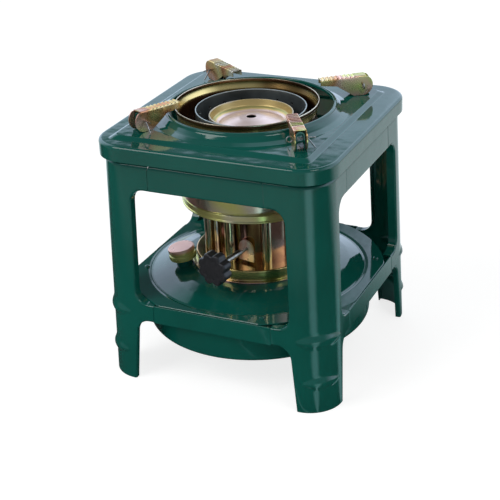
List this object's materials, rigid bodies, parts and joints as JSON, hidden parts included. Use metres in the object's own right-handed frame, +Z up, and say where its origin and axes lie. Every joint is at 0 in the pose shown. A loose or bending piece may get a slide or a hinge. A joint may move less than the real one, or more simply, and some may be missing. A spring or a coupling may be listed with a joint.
{
  "type": "kerosene stove",
  "caption": "Square enamelled kerosene wick stove with a round fuel tank, a plated burner, a wick knob and folding pot supports.",
  "frame": {"origin": "on the floor under the middle of the frame", "axes": "+Z up; -Y faces the side with the wick knob and the filler cap; +X is the right-hand side seen from there"},
  "size_m": [0.2326, 0.2326, 0.2601],
  "materials": {
    "enamel": "glossy dark green enamel",
    "zinc": "bright yellow chromated zinc plate with pink and green tints",
    "dark_steel": "dark heat-stained steel",
    "bright_steel": "plain bright steel",
    "black_plastic": "black heat-resistant plastic",
    "cotton": "woven cotton wick",
    "seal_rubber": "matt black seal"
  },
  "bodies": {
    "stove": {"top_cover": "enamel", "leg_front_right": "enamel", "leg_back_right": "enamel", "leg_back_left": "enamel", "leg_front_left": "enamel", "upper_rail_front": "enamel", "upper_rail_right": "enamel", "upper_rail_back": "enamel", "upper_rail_left": "enamel", "lower_rail_front": "enamel", "lower_rail_right": "enamel", "lower_rail_back": "enamel", "lower_rail_left": "enamel", "tank_shell": "enamel", "tank_top": "enamel", "filler_neck": "enamel", "support_bracket_1": "enamel", "support_bracket_2": "enamel", "support_bracket_3": "enamel", "support_bracket_4": "enamel", "wick_gallery": "zinc", "wick_tube_1": "zinc", "wick_tube_2": "zinc", "wick_tube_3": "zinc", "wick_tube_4": "zinc", "wick_tube_5": "zinc", "wick_tube_6": "zinc", "wick_tube_7": "zinc", "wick_tube_8": "zinc", "burner_barrel": "zinc", "burner_plate": "zinc", "shaft_plate": "zinc", "split_pin_1": "bright_steel", "split_pin_2": "bright_steel", "split_pin_3": "bright_steel", "split_pin_4": "bright_steel"},
    "wick_lifter": {"lifter_plate": "dark_steel", "lifter_rack": "bright_steel", "wick_1": "cotton", "wick_2": "cotton", "wick_3": "cotton", "wick_4": "cotton", "wick_5": "cotton", "wick_6": "cotton", "wick_7": "cotton", "wick_8": "cotton"},
    "wick_drive": {"wick_knob": "black_plastic", "wick_shaft": "bright_steel", "pinion": "bright_steel"},
    "filler_closure": {"filler_cap": "zinc", "cap_seal": "seal_rubber"},
    "burner_set": {"burner_drum": "zinc", "flame_tube_outer": "dark_steel", "flame_tube_inner": "dark_steel"},
    "dish": {"dish_cap": "zinc"},
    "support_1": {"pot_support_1": "zinc"},
    "support_2": {"pot_support_2": "zinc"},
    "support_3": {"pot_support_3": "zinc"},
    "support_4": {"pot_support_4": "zinc"}
  },
  "joints": [
    {"name": "wick_lift", "type": "slide", "parent": "stove", "child": "wick_lifter", "axis": [0, 0, 1], "range_m": [0, 0.015]},
    {"name": "knob_turn", "type": "hinge", "parent": "stove", "child": "wick_drive", "pos_m": [0.0051, -0.0435, 0.1195], "axis": [0.2079, 0.9781, 0], "range_deg": [0, 180]},
    {"name": "cap_lift", "type": "slide", "parent": "stove", "child": "filler_closure", "axis": [-0.1383, -0.0692, 0.988], "range_m": [0, 0.04]},
    {"name": "burner_lift", "type": "slide", "parent": "stove", "child": "burner_set", "axis": [0, 0, 1], "range_m": [0, 0.001]},
    {"name": "dish_lift", "type": "slide", "parent": "burner_set", "child": "dish", "axis": [0, 0, 1], "range_m": [0, 0.06]},
    {"name": "support_1_fold", "type": "hinge", "parent": "stove", "child": "support_1", "pos_m": [0.07707, -0.07707, 0.2508], "axis": [0.8526, 0.5225, 0], "range_deg": [0, 120]},
    {"name": "support_2_fold", "type": "hinge", "parent": "stove", "child": "support_2", "pos_m": [0.07707, 0.07707, 0.2508], "axis": [-0.5664, 0.8241, 0], "range_deg": [0, 120]},
    {"name": "support_3_fold", "type": "hinge", "parent": "stove", "child": "support_3", "pos_m": [-0.07707, 0.07707, 0.2508], "axis": [-0.5373, -0.8434, 0], "range_deg": [0, 120]},
    {"name": "support_4_fold", "type": "hinge", "parent": "stove", "child": "support_4", "pos_m": [-0.07707, -0.07707, 0.2508], "axis": [0.9026, -0.4305, 0], "range_deg": [0, 120]}
  ],
  "couplings": [
    {"joint": "knob_turn", "follows": "wick_lift", "rad_per_m": 208.33}
  ]
}
